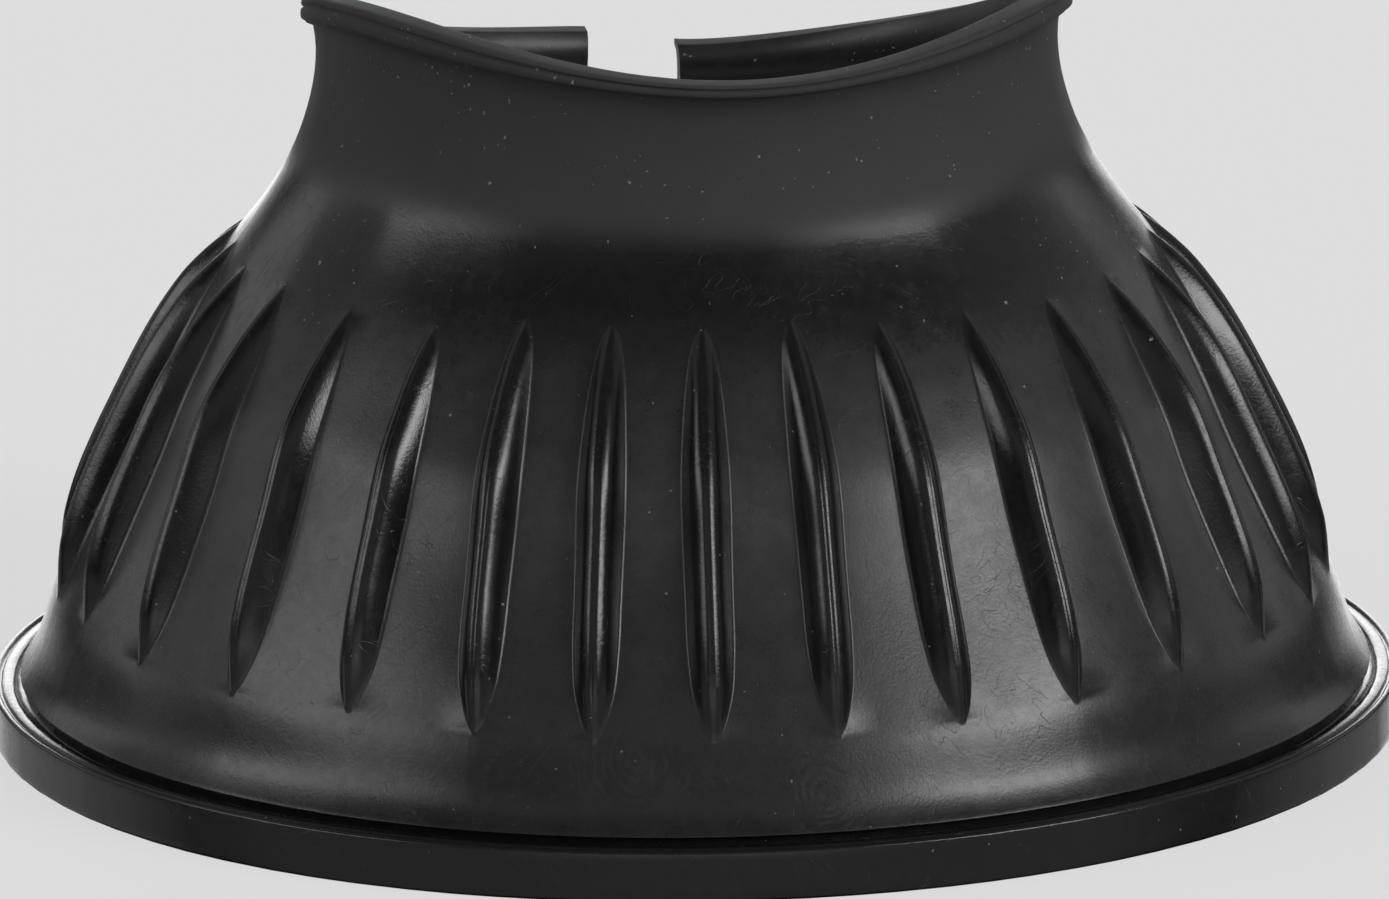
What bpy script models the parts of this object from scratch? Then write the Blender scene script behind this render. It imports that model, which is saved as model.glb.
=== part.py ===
# Rubber bell boot: a ribbed rubber bell, slit at the back and closed there by two hook-and-loop straps.
# Metres, +Z up. The front faces -Y and the slit +Y. The hem's flat underside is at Z = 0, round the origin.

import math

import bmesh
import bpy
from mathutils import Vector

# Hem
HEM_RADIUS = 0.0975
HEM_BAND_HEIGHT = 0.0071
HEM_BORE_RADIUS = 0.0897
EDGE_ROUND = 0.0005
GROOVE_WIDTH = 0.0020
GROOVE_DEPTH = 0.0012
GROOVE_FLOOR_SHARES = (0.80, 0.15)

# Bell wall, from the foot on the hem band up to the collar lip
FOOT_RADIUS = 0.0936
NECK_RADIUS = 0.0511
WALL = 0.0033
# Each pair is a share of the height from hem band to lip, and of the radius from neck to foot
WALL_SHARES = (
    (0.006, 1.0),
    (0.028, 0.968),
    (0.062, 0.938),
    (0.135, 0.882),
    (0.375, 0.619),
    (0.553, 0.419),
    (0.636, 0.296),
    (0.704, 0.183),
    (0.783, 0.078),
    (0.856, 0.021),
    (0.918, 0.0),
    (0.966, 0.010),
    (1.0, 0.035),
)

# Collar lip: it dips at the front, stands up at the sides and drops towards the slit
RIM_FRONT = 0.1028
RIM_FORE_SIDE = 0.1070
RIM_HIND_SIDE = 0.0950
RIM_BACK = 0.0846
RIM_LEAN = 0.0012
LIFT_START = 0.060
BEAD_HEIGHT = 0.0030
BEAD_PROUD = 0.0008

# Ribs
RIB_PLACES = 32
RIBS_EACH_SIDE = 12
RIB_FOOT = 0.0190
RIB_TIP = 0.0708
RIB_HALF_WIDTH = 0.00375
RIB_HEIGHT = 0.0043
RIB_WIDEST_SHARE = 0.50
RIB_HIGHEST_SHARE = 0.40
RIB_END_WIDTH_SHARE = 0.12
# Across a rib: places as shares of its half width, from its crest to its foot
RIB_SECTION_SHARES = (0.0, 0.48, 0.84, 1.0)

# Slit
SLIT_TOP = 0.0127
SLIT_BOTTOM = 0.0200
SLIT_OFFSET = 0.0016

# Straps, hook patches and loop patches
CLEARANCE = 0.0003
STRAP_WIDTH = 0.0250
STRAP_THICKNESS = 0.0014
STRAP_CORNER = 0.0050
ROOT_LENGTH = 0.0270
HINGE_INSET = 0.0060
TIP_MARGIN = 0.0050
HOOK_WIDTH = 0.0190
HOOK_THICKNESS = 0.0010
HOOK_INSET = 0.0040
LOOP_THICKNESS = 0.0012
LOOP_INSET = 0.0030
THREAD_RADIUS = 0.00025
STITCH_MARGIN = 0.0015
UPPER = {"centre": 0.0655, "loop": 0.0340, "hook": 0.0250}
LOWER = {"centre": 0.0310, "loop": 0.0460, "hook": 0.0350}

# Facets
RIB_ROWS = 13
PANEL_CELLS = 6
STRAP_CELLS = 4
FACET_LENGTH = 0.0035


def clear_scene():
    for thing in list(bpy.data.objects):
        bpy.data.objects.remove(thing, do_unlink=True)


def material(name, colour, roughness):
    made = bpy.data.materials.new(name)
    made.use_nodes = True
    shader = made.node_tree.nodes["Principled BSDF"]
    shader.inputs["Base Color"].default_value = (*colour, 1)
    shader.inputs["Roughness"].default_value = roughness
    shader.inputs["Metallic"].default_value = 0
    return made


# A smooth curve through (place, value) pairs, with each inner slope taken from the pair's two neighbours
def curve_value(pairs, place):
    last = len(pairs) - 2
    i = next((k for k in range(last) if place < pairs[k + 1][0]), last)

    def slope(k):
        low, high = pairs[max(k - 1, 0)], pairs[min(k + 1, last + 1)]
        return (high[1] - low[1]) / (high[0] - low[0])

    (x0, y0), (x1, y1) = pairs[i], pairs[i + 1]
    span = x1 - x0
    t = (place - x0) / span
    left, right = slope(i) * span, slope(i + 1) * span
    rise = y1 - y0
    return y0 + t * (left + t * (3 * rise - 2 * left - right + t * (left + right - 2 * rise)))


def slope_of(function, place, step=EDGE_ROUND):
    return (function(place + step) - function(place - step)) / (2 * step)


WALL_CURVE = [
    (
        HEM_BAND_HEIGHT + height_share * (RIM_FRONT - HEM_BAND_HEIGHT),
        NECK_RADIUS + radius_share * (FOOT_RADIUS - NECK_RADIUS),
    )
    for height_share, radius_share in WALL_SHARES
]


# Radius of the bell's outer wall between the ribs
def wall_radius(height):
    return curve_value(WALL_CURVE, height)


# Height of the lip at an angle from the front, as a cosine series through the four named heights
def rim_height(angle):
    front, fore, hind, back = RIM_FRONT, RIM_FORE_SIDE, RIM_HIND_SIDE, RIM_BACK
    terms = (
        (front / 2 + fore + hind + back / 2) / 3,
        (front + fore - hind - back) / 3,
        (front - fore - hind + back) / 3,
        (front / 2 - fore + hind - back / 2) / 3,
    )
    level = sum(term * math.cos(turns * angle) for turns, term in enumerate(terms))
    return level - RIM_LEAN * math.sin(angle)


# How far a point of the bell rises or sinks so that its top edge meets the lip
def lift(angle, height):
    share = max(height - LIFT_START, 0) / (RIM_FRONT - LIFT_START)
    return (rim_height(angle) - RIM_FRONT) * share**1.5


# Point and outward normal on the bell's outer wall, moved out by a distance
def on_wall(angle, height, out=0.0):
    across = slope_of(wall_radius, height)
    along = 1 + slope_of(lambda place: lift(angle, place), height)
    length = math.hypot(across, along)
    radial, upward = along / length, -across / length
    radius = wall_radius(height) + out * radial
    normal = Vector((radial * math.sin(angle), -radial * math.cos(angle), upward))
    level = height + lift(angle, height) + out * upward
    return Vector((radius * math.sin(angle), -radius * math.cos(angle), level)), normal


# Half the slit's width at a height; the slit lies a little to the left of the middle
def slit_edge(height, side):
    share = height / RIM_BACK
    return (SLIT_BOTTOM + share * (SLIT_TOP - SLIT_BOTTOM)) / 2 - side * SLIT_OFFSET


def end_angle(radius, height, side):
    level = height + lift(math.pi, height)
    return side * (math.pi - math.asin(slit_edge(level, side) / radius))


# How far a share of a rib's length lies from a named share, as a part of the way to that end of the rib
def off_share(share, middle):
    reach = middle if share < middle else 1 - middle
    return min(abs(share - middle) / reach, 1)


# A rib's half width and height at a share of its length, from its foot to its tip
def rib_form(share):
    off = off_share(share, RIB_WIDEST_SHARE)
    width = (1 - off**3) ** 0.6 if share < RIB_WIDEST_SHARE else (1 - off**2.2) ** 0.45
    off = off_share(share, RIB_HIGHEST_SHARE)
    height = (1 - off**2) ** (0.8 if share < RIB_HIGHEST_SHARE else 2)
    return RIB_HALF_WIDTH * max(width, RIB_END_WIDTH_SHARE), RIB_HEIGHT * height


PITCH = 2 * math.pi / RIB_PLACES
RIB_ANGLES = [(i + 0.5 - RIBS_EACH_SIDE) * PITCH for i in range(2 * RIBS_EACH_SIDE)]
# A rib has a round crest and steep flanks: its height falls as (1 - place squared) to the power 0.75
RIB_PLACES_ACROSS = [-share for share in reversed(RIB_SECTION_SHARES[1:])] + list(RIB_SECTION_SHARES)
RIB_SECTION = [(place, (1 - place**2) ** 0.75) for place in RIB_PLACES_ACROSS]
CELL_SPLIT = (len(RIB_SECTION) + 1) // 2


# One ring of points from slit edge to slit edge. A fine ring carries the ribs, at a share of their length
def ring(radius, height, rib_share=None):
    fine = rib_share is not None
    split = CELL_SPLIT if fine else 1
    half_width, crest = rib_form(rib_share) if fine else (0, 0)
    across = slope_of(wall_radius, height) if fine else 0
    tilt = math.atan2(-across, 1)
    places = []
    first, last = RIB_ANGLES[0] - PITCH / 2, RIB_ANGLES[-1] + PITCH / 2
    start, end = end_angle(radius, height, -1), end_angle(radius, height, 1)
    cells = PANEL_CELLS * split
    for i in range(cells):
        places.append((start + (first - start) * i / cells, 0))
    for angle in RIB_ANGLES:
        places.append((angle - PITCH / 2, 0))
        if fine:
            for place, rise_share in RIB_SECTION:
                places.append((angle + place * half_width / radius, rise_share * crest))
        else:
            places.append((angle, 0))
    for i in range(cells + 1):
        places.append((last + (end - last) * i / cells, 0))
    points = []
    for angle, out in places:
        reach = radius + out * math.cos(tilt)
        level = height + lift(angle, height) + out * math.sin(tilt)
        points.append(Vector((reach * math.sin(angle), -reach * math.cos(angle), level)))
    return points


# The wall's section as rings: out over the hem band, up the ribbed wall, over the bead and down the bore
def shell_rings():
    groove_floor = HEM_BAND_HEIGHT - GROOVE_DEPTH
    rings = [
        ring(HEM_RADIUS - EDGE_ROUND, 0),
        ring(HEM_RADIUS, EDGE_ROUND),
        ring(HEM_RADIUS, HEM_BAND_HEIGHT - EDGE_ROUND),
        ring(HEM_RADIUS - EDGE_ROUND, HEM_BAND_HEIGHT),
        ring(FOOT_RADIUS + GROOVE_WIDTH, HEM_BAND_HEIGHT),
    ]
    rings += [ring(FOOT_RADIUS + GROOVE_WIDTH * share, groove_floor) for share in GROOVE_FLOOR_SHARES]
    plain_below = [height for height, _ in WALL_CURVE if height < RIB_FOOT - EDGE_ROUND]
    rings += [ring(wall_radius(height), height) for height in plain_below]
    for i in range(RIB_ROWS + 1):
        share = (1 - math.cos(math.pi * i / RIB_ROWS)) / 2
        height = RIB_FOOT + share * (RIB_TIP - RIB_FOOT)
        rings.append(ring(wall_radius(height), height, share))
    bead_foot = RIM_FRONT - BEAD_HEIGHT
    above, below = RIB_TIP + EDGE_ROUND, bead_foot - EDGE_ROUND
    plain_above = [height for height, _ in WALL_CURVE if above < height < below]
    rings += [ring(wall_radius(height), height) for height in plain_above]
    lip = wall_radius(RIM_FRONT)
    rings += [
        ring(wall_radius(bead_foot), bead_foot),
        ring(wall_radius(bead_foot) + BEAD_PROUD, bead_foot + EDGE_ROUND),
        ring(lip + BEAD_PROUD, RIM_FRONT - EDGE_ROUND),
        ring(lip + BEAD_PROUD - EDGE_ROUND, RIM_FRONT),
        ring(lip - WALL + EDGE_ROUND, RIM_FRONT),
        ring(lip - WALL, RIM_FRONT - EDGE_ROUND),
    ]
    for height, radius in reversed(WALL_CURVE[1:-1]):
        across = slope_of(wall_radius, height)
        length = math.hypot(across, 1)
        rings.append(ring(radius - WALL / length, height + WALL * across / length))
    rings.append(ring(HEM_BORE_RADIUS, HEM_BAND_HEIGHT / 2))
    rings.append(ring(HEM_BORE_RADIUS, 0))
    return rings


# Joins neighbouring rings with faces, one coarse cell to several fine ones, and caps both slit faces
def skin(rings):
    mesh = bmesh.new()
    rows = [[mesh.verts.new(point) for point in points] for points in rings]
    cells = min(len(row) for row in rows) - 1
    for row, other in zip(rows, rows[1:] + rows[:1]):
        here, there = (len(row) - 1) // cells, (len(other) - 1) // cells
        if here == there:
            for i in range(len(row) - 1):
                mesh.faces.new((row[i], row[i + 1], other[i + 1], other[i]))
        else:
            for i in range(cells):
                side = row[i * here : (i + 1) * here + 1]
                far = other[i * there : (i + 1) * there + 1]
                mesh.faces.new(side + far[::-1])
    mesh.faces.new([row[0] for row in rows])
    mesh.faces.new([row[-1] for row in rows])
    bmesh.ops.recalc_face_normals(mesh, faces=mesh.faces)
    return mesh


def mesh_object(name, mesh, finish, hinge=None):
    data = bpy.data.meshes.new(name)
    mesh.to_mesh(data)
    mesh.free()
    data.materials.append(finish)
    data.shade_smooth()
    data.set_sharp_from_angle(angle=math.radians(35))
    made = bpy.data.objects.new(name, data)
    bpy.context.scene.collection.objects.link(made)
    made.parent = hinge
    return made


def make_shell(finish):
    return mesh_object("bell_shell", skin(shell_rings()), finish)


# Places on the closure: run is the distance round the wall from the middle of the back, rightwards,
# and rise is the distance up the wall from the strap's centre line
def on_closure(centre, run, rise, out):
    angle = math.pi - run / wall_radius(centre)
    height = centre
    for _ in range(3):
        middle = (centre + height) / 2
        along = 1 + slope_of(lambda place: lift(angle, place), middle)
        height = centre + rise / math.hypot(slope_of(wall_radius, middle), along)
    return on_wall(angle, height, out)[0]


# Middle of the straight line that a strap folds on, which lies clear of every bulge across the strap
def fold_middle(centre, run, out):
    rises = [STRAP_WIDTH * (k / STRAP_CELLS - 1 / 2) for k in range(STRAP_CELLS + 1)]
    places = [on_closure(centre, run, rise, out) for rise in rises]
    middle = (places[0] + places[-1]) / 2
    chord = (places[-1] - places[0]).normalized()
    normal = on_wall(math.pi - run / wall_radius(centre), centre)[1]
    outward = (normal - normal.dot(chord) * chord).normalized()
    return middle + outward * max((place - middle).dot(outward) for place in places)


def closure_edges(centre):
    level = centre + lift(math.pi, centre)
    return -slit_edge(level, -1), slit_edge(level, 1)


def ease(share):
    share = min(max(share, 0), 1)
    return share * share * (3 - 2 * share)


# A strip of the closure: a sheet from run to run, laid at a height above the wall and thickened outwards
def strip(name, centre, runs, width, out, thickness, finish, hinge=None, corner=0.0):
    start, stop = runs
    length = abs(stop - start)
    origin = hinge.location if hinge else Vector()
    count = math.ceil(length / FACET_LENGTH)
    stops = [i / count for i in range(count + 1)]
    if corner:
        turn = [1 - corner / length * (1 - math.sin(math.pi / 2 * k / 3)) for k in range(4)]
        stops = [s for s in stops if s < turn[0] - corner / length / 3] + turn
    mesh = bmesh.new()
    rows = []
    for share in stops:
        run = start + (stop - start) * share
        left = (1 - share) * length
        half = width / 2
        if corner and left < corner:
            half -= corner - math.sqrt(corner**2 - (corner - left) ** 2)
        row = []
        for k in range(STRAP_CELLS + 1):
            rise = half * (2 * k / STRAP_CELLS - 1)
            row.append(mesh.verts.new(on_closure(centre, run, rise, out(run)) - origin))
        rows.append(row)
    for row, other in zip(rows, rows[1:]):
        for k in range(STRAP_CELLS):
            mesh.faces.new((row[k], row[k + 1], other[k + 1], other[k]))
    mesh.normal_update()
    if sum((f.normal.dot(f.calc_center_median() + origin) for f in mesh.faces)) < 0:
        bmesh.ops.reverse_faces(mesh, faces=mesh.faces)
    made = mesh_object(name, mesh, finish, hinge)
    solid = made.modifiers.new("thickness", "SOLIDIFY")
    solid.thickness = thickness
    solid.offset = 1
    return made


# A closed run of thread just inside the edge of a strip
def stitching(name, centre, runs, width, out, finish, hinge=None):
    start, stop = sorted(runs)
    low, high = start + STITCH_MARGIN, stop - STITCH_MARGIN
    half = width / 2 - STITCH_MARGIN
    corners = [(low, -half), (high, -half), (high, half), (low, half)]
    origin = hinge.location if hinge else Vector()
    points = []
    for (run, rise), (next_run, next_rise) in zip(corners, corners[1:] + corners[:1]):
        count = math.ceil(math.hypot(next_run - run, next_rise - rise) / FACET_LENGTH)
        for i in range(count):
            here = run + (next_run - run) * i / count
            level = rise + (next_rise - rise) * i / count
            points.append(on_closure(centre, here, level, out(here) + THREAD_RADIUS) - origin)
    data = bpy.data.curves.new(name, "CURVE")
    data.dimensions = "3D"
    data.bevel_depth = THREAD_RADIUS
    data.bevel_resolution = 0
    line = data.splines.new("POLY")
    line.points.add(len(points) - 1)
    for place, point in zip(line.points, points):
        place.co = (*point, 1)
    line.use_cyclic_u = True
    data.materials.append(finish)
    made = bpy.data.objects.new(name, data)
    bpy.context.scene.collection.objects.link(made)
    made.parent = hinge
    return made


# One closure: a strap sewn to the right panel. Its tail crosses the slit and grips a loop patch on the left
def make_closure(side, sizes, webbing, hook, loop, thread):
    centre = sizes["centre"]
    slit_left, slit_right = closure_edges(centre)
    hinge_run = slit_right + HINGE_INSET
    loop_start = slit_left - LOOP_INSET
    loop_runs = (loop_start, loop_start - sizes["loop"])
    hook_start = loop_start - HOOK_INSET
    hook_runs = (hook_start, hook_start - sizes["hook"])
    root_runs = (hinge_run + CLEARANCE / 2, hinge_run + ROOT_LENGTH)
    tail_runs = (hinge_run - CLEARANCE / 2, hook_runs[1] - TIP_MARGIN)
    seat = CLEARANCE
    loop_top = seat + LOOP_THICKNESS
    hook_seat = loop_top + CLEARANCE
    tail_seat = hook_seat + HOOK_THICKNESS + CLEARANCE
    root_top = seat + STRAP_THICKNESS

    def flat(level):
        return lambda run: level

    # The tail leaves the wall at the root and reaches its seat on the hook patch at the slit's far edge
    def tail_under(run):
        return seat + (tail_seat - seat) * ease((hinge_run - run) / (hinge_run - slit_left))

    def tail_over(run):
        return tail_under(run) + STRAP_THICKNESS + CLEARANCE

    hinge = bpy.data.objects.new(side + "_strap_hinge", None)
    hinge.empty_display_size = STRAP_WIDTH / 2
    hinge.location = fold_middle(centre, hinge_run, root_top)
    bpy.context.scene.collection.objects.link(hinge)

    strip(side + "_strap_root", centre, root_runs, STRAP_WIDTH, flat(seat), STRAP_THICKNESS, webbing)
    stitching(side + "_root_stitching", centre, root_runs, STRAP_WIDTH, flat(root_top + CLEARANCE), thread)
    strip(side + "_loop_patch", centre, loop_runs, STRAP_WIDTH, flat(seat), LOOP_THICKNESS, loop)
    stitching(side + "_loop_stitching", centre, loop_runs, STRAP_WIDTH, flat(loop_top + CLEARANCE), thread)
    tail = (side + "_strap_tail", centre, tail_runs, STRAP_WIDTH, tail_under, STRAP_THICKNESS, webbing)
    strip(*tail, hinge, STRAP_CORNER)
    strip(side + "_hook_patch", centre, hook_runs, HOOK_WIDTH, flat(hook_seat), HOOK_THICKNESS, hook, hinge)
    stitching(side + "_hook_stitching", centre, hook_runs, HOOK_WIDTH, tail_over, thread, hinge)


def main():
    clear_scene()
    rubber = material("black rubber", (0.020, 0.020, 0.021), 0.42)
    webbing = material("black webbing", (0.016, 0.016, 0.017), 0.80)
    hook = material("black hook tape", (0.022, 0.022, 0.023), 0.70)
    loop = material("black loop tape", (0.012, 0.012, 0.013), 0.95)
    thread = material("black thread", (0.030, 0.030, 0.032), 0.60)
    make_shell(rubber)
    make_closure("upper", UPPER, webbing, hook, loop, thread)
    make_closure("lower", LOWER, webbing, hook, loop, thread)


main()
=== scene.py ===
import math

import bpy
import numpy as np
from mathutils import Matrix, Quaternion, Vector
from mathutils.geometry import tessellate_polygon


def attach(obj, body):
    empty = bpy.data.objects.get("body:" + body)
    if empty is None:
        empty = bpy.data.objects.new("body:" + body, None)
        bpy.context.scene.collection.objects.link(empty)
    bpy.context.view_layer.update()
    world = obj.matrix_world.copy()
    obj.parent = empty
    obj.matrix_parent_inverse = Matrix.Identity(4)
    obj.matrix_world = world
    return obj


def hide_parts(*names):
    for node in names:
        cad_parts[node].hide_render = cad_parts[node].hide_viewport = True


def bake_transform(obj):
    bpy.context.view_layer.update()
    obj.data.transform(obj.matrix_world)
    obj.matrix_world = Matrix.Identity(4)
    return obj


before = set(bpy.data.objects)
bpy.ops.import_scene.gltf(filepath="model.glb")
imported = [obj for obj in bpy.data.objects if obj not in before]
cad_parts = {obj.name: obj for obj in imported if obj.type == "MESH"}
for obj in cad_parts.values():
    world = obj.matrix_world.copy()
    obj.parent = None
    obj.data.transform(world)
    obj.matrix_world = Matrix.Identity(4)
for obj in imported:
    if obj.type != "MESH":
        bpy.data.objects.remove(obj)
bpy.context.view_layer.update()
scene = bpy.context.scene
scene.view_settings.view_transform = "Standard"
print("frame loaded,", len(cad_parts), "solids")


# Numbers and curves

def smoothStep(values, low, high):  # 0 below low, 1 above high, an S curve between
    share = np.clip((np.asarray(values, float) - low) / (high - low), 0, 1)
    return share * share * (3 - 2 * share)


def curveThrough(places, values, at):
    # a cubic through the pairs; each inner slope is that of the line between the pair's two neighbours
    slopes = np.empty(len(places))
    slopes[1:-1] = (values[2:] - values[:-2]) / (places[2:] - places[:-2])
    slopes[0] = (values[1] - values[0]) / (places[1] - places[0])
    slopes[-1] = (values[-1] - values[-2]) / (places[-1] - places[-2])
    i = np.clip(np.searchsorted(places, at, side="right") - 1, 0, len(places) - 2)
    span = places[i + 1] - places[i]
    share = (at - places[i]) / span
    left, right, rise = slopes[i] * span, slopes[i + 1] * span, values[i + 1] - values[i]
    return values[i] + share * (left + share * (3 * rise - 2 * left - right + share * (left + right - 2 * rise)))


def makePiece(name, points, faces, finishes, uv=None, secondFinish=0):
    # a mesh object from an array of points and a list of faces; its last faces, secondFinish of them, are
    # flat and take the second finish
    mesh = bpy.data.meshes.new(name)
    mesh.from_pydata(points.reshape(-1, 3), [], faces)
    smooth, slot = np.ones(len(mesh.polygons), bool), np.zeros(len(mesh.polygons), np.int32)
    if secondFinish:
        smooth[-secondFinish:], slot[-secondFinish:] = False, 1
    mesh.polygons.foreach_set("use_smooth", smooth)
    for finish in finishes:
        mesh.materials.append(finish)
    mesh.polygons.foreach_set("material_index", slot)
    if uv is not None:
        corner = np.empty(len(mesh.loops), np.int32)
        mesh.loops.foreach_get("vertex_index", corner)
        layer = mesh.uv_layers.new(name="along")
        layer.data.foreach_set("uv", uv.reshape(-1, 2)[corner].astype(np.float32).ravel())
    piece = bpy.data.objects.new(name, mesh)
    scene.collection.objects.link(piece)
    return piece


def gridFaces(rows, columns, closeRows=False, closeColumns=False, first=0, flip=False):
    # the four-sided faces of a grid of points, row by row; a closed side wraps round to the first row or column
    i = np.arange(rows if closeRows else rows - 1)
    j = np.arange(columns if closeColumns else columns - 1)
    i, j = (a.ravel() for a in np.meshgrid(i, j, indexing="ij"))
    below, right = (i + 1) % rows, (j + 1) % columns
    corners = [i * columns + j, i * columns + right, below * columns + right, below * columns + j]
    return np.stack(corners[::-1] if flip else corners, axis=1) + first


def stripFaces(rows, columns):
    # a flat strip's faces: columns of points over its top and as many back below, and a row across each end
    faces = [gridFaces(rows, 2 * columns, closeColumns=True, flip=True)]
    j = np.arange(columns - 1)
    for row, turned in ((0, False), (rows - 1, True)):
        first = row * 2 * columns
        far = first + 2 * columns - 1 - j
        cap = np.stack([first + j, first + j + 1, far - 1, far], axis=1)
        faces.append(cap if turned else cap[:, ::-1])
    return np.concatenate(faces)


def roundedEdge(share, least):  # a quarter circle's height over a share of its radius
    return np.sqrt(np.clip(1 - (1 - np.clip(share, 0, 1)) ** 2, least, 1))


def addMask(piece, name, values):  # a number for each point, which the materials read by its name
    layer = piece.data.attributes.new(name, "FLOAT", "POINT")
    layer.data.foreach_set("value", np.asarray(values, np.float32).ravel())


# The bell: one moulding, from its hem band to its collar lip

bell = {
    "hemRadius": 0.0975, "bandHeight": 0.0071, "boreRadius": 0.0897, "edgeRound": 0.0005,
    "footRadius": 0.0936, "neckRadius": 0.0511, "wall": 0.0033,
    "footInset": 0.0009, "footGap": 0.0009, "gapDepth": 0.0012, "gapWidth": 0.0008,
    "ledgeGroove": 0.0009, "ledgeGrooveDepth": 0.0004,
    "rimFront": 0.1021, "rimForeSide": 0.1068, "rimHindSide": 0.0950, "rimBack": 0.0851, "rimLean": 0.0012,
    "profileTop": 0.1028, "liftStart": 0.060, "endStep": 0.0013, "frontBead": 0.62, "beadReach": 0.0034,
    "slitTop": 0.0127, "slitBottom": 0.0200, "slitOffset": 0.0016,
    "profileSmoothing": 0.0012, "wobble": 0.00009, "swell": 0.0006, "swellLevel": 0.0515, "swellReach": 0.0068,
    # where the neck's haze begins and is full; its paler colour is painted light
    "hazeAndLightFrom": 0.0785, "hazeAndLightTo": 0.0855,
}
# shares of the height from hem band to lip, and of the radius from neck to foot
wallShares = np.array([
    (0.006, 1.008), (0.028, 0.970), (0.062, 0.938), (0.135, 0.882), (0.375, 0.619), (0.553, 0.419),
    (0.636, 0.296), (0.704, 0.183), (0.783, 0.078), (0.856, 0.021), (0.918, 0.0), (0.966, 0.010), (1.0, 0.035),
])
ribs = {
    "places": 32, "eachSide": 12, "foot": 0.0197, "tip": 0.0712, "sideFoot": 0.0010, "sideTip": 0.0022,
    "halfWidth": 0.00325, "height": 0.0041, "fillet": 0.00020, "narrowest": 0.0006,
    "groove": 0.00011, "grooveShare": 0.06, "toe": 0.00001, "uneven": 0.0005,
    "spread": 7.0, "spreadTip": 2.5, "spreadFrom": 27, "spreadOver": 49, "spreadEnd": (84, 138), "rightShare": 0.85,
    "nudge": 1.5, "nudgeAt": -18, "nudgeReach": 10,
}
# shares of a rib's length, of its half width and of its height
ribShape = np.array([
    (0.0, 0.0, 0.0), (0.02, 0.28, 0.09), (0.045, 0.47, 0.22), (0.094, 0.71, 0.47), (0.143, 0.86, 0.67),
    (0.24, 0.96, 0.88), (0.36, 0.97, 0.98), (0.46, 0.985, 1.0), (0.56, 1.0, 0.99), (0.65, 0.98, 0.94),
    (0.724, 0.92, 0.85), (0.82, 0.80, 0.67), (0.88, 0.69, 0.50), (0.93, 0.55, 0.33), (0.97, 0.36, 0.15),
    (1.0, 0.0, 0.0),
])
# slow waves in the wall: how often round, how fast up, where it starts, and its share
wallWaves = ((5.3, 95, 0.7, 1.0), (-8.1, 160, 2.1, 0.8), (17, 240, 4.4, 0.5))
# the bead under the lip: how far below the lip, and how far it stands out from the wall
bead = np.array([
    (0.00325, 0.00003), (0.00305, 0.00016), (0.00285, 0.00048), (0.00265, 0.00074), (0.00235, 0.00082),
    (0.00190, 0.00084), (0.00150, 0.00080), (0.00130, 0.00066), (0.00118, 0.00040), (0.00102, 0.00038),
    (0.00088, 0.00060), (0.00070, 0.00072), (0.00040, 0.00070), (0.00015, 0.00056), (0.00004, 0.00030),
    (0.00004, -0.00060), (0.00002, -0.0016), (0.00004, -0.0026),
])
# heights on the wall and how dull and pale the bloom on the rubber makes the lands there; this is also painted light:
# the lands paler at mid height where they catch the light, and left dark in a band of shade below the neck
dullingAndPaintedLightLevels = np.array([
    (0.007, 0.16), (0.018, 0.20), (0.032, 0.34), (0.042, 0.55), (0.048, 0.68), (0.056, 0.52), (0.064, 0.38),
    (0.069, 0.14), (0.073, 0.03), (0.077, 0.03), (0.081, 0.0), (0.11, 0.0),
])
knotHeights = bell["bandHeight"] + wallShares[:, 0] * (bell["profileTop"] - bell["bandHeight"])
knotRadii = bell["neckRadius"] + wallShares[:, 1] * (bell["footRadius"] - bell["neckRadius"])
viewAzimuth = math.radians(-7.1)  # the side the photograph shows


def smoothedWall():
    # the curve through the knots, averaged with a bell-shaped weight, so that no knot shows in a reflection
    step, reach = 0.0001, 0.0040
    heights = np.arange(0.0, 0.1120, step)
    raw = curveThrough(knotHeights, knotRadii, np.arange(-reach, 0.1120 + reach, step))
    offsets = np.arange(-reach, reach + step / 2, step)
    weight = np.exp(-0.5 * (offsets / bell["profileSmoothing"]) ** 2)
    averaged = np.convolve(raw, weight / weight.sum(), mode="same")
    first = int(round(reach / step))
    radii = averaged[first:first + len(heights)]
    return heights, radii, np.gradient(radii, step)


wallHeights, wallRadii, wallSlopes = smoothedWall()


def wallRadius(height):
    return np.interp(height, wallHeights, wallRadii)


def wallSlope(height):
    return np.interp(height, wallHeights, wallSlopes)


def rimHeight(angle):
    # a cosine series through the lip's four heights, less a slight lean to one side and a step between the
    # slit's two ends
    front, fore, hind, back = (bell[k] for k in ("rimFront", "rimForeSide", "rimHindSide", "rimBack"))
    thirds = (front / 2 + fore + hind + back / 2, front + fore - hind - back,
              front - fore - hind + back, front / 2 - fore + hind - back / 2)
    series = sum(third / 3 * np.cos(wave * angle) for wave, third in enumerate(thirds))
    step = np.tanh(np.sin(angle) / 0.1) * np.maximum(-np.cos(angle), 0) ** 8
    return series - bell["rimLean"] * np.sin(angle) - bell["endStep"] * step


def lift(angle, height):  # how far a point rises or sinks so that the top edge meets the lip
    share = np.maximum(height - bell["liftStart"], 0) / (bell["rimFront"] - bell["liftStart"])
    return (rimHeight(angle) - bell["rimFront"]) * share ** 1.5


def liftSlope(angle, height, step=0.0005):
    return (lift(angle, height + step) - lift(angle, height - step)) / (2 * step)


def onWall(angle, height, out):
    # a point at an angle from the front and a height on the outer wall, moved out along the wall's normal
    across, along = wallSlope(height), 1 + liftSlope(angle, height)
    length = np.hypot(across, along)
    radius = wallRadius(height) + out * along / length
    level = height + lift(angle, height) - out * across / length
    return np.stack([radius * np.sin(angle), -radius * np.cos(angle), level], axis=-1)


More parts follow.
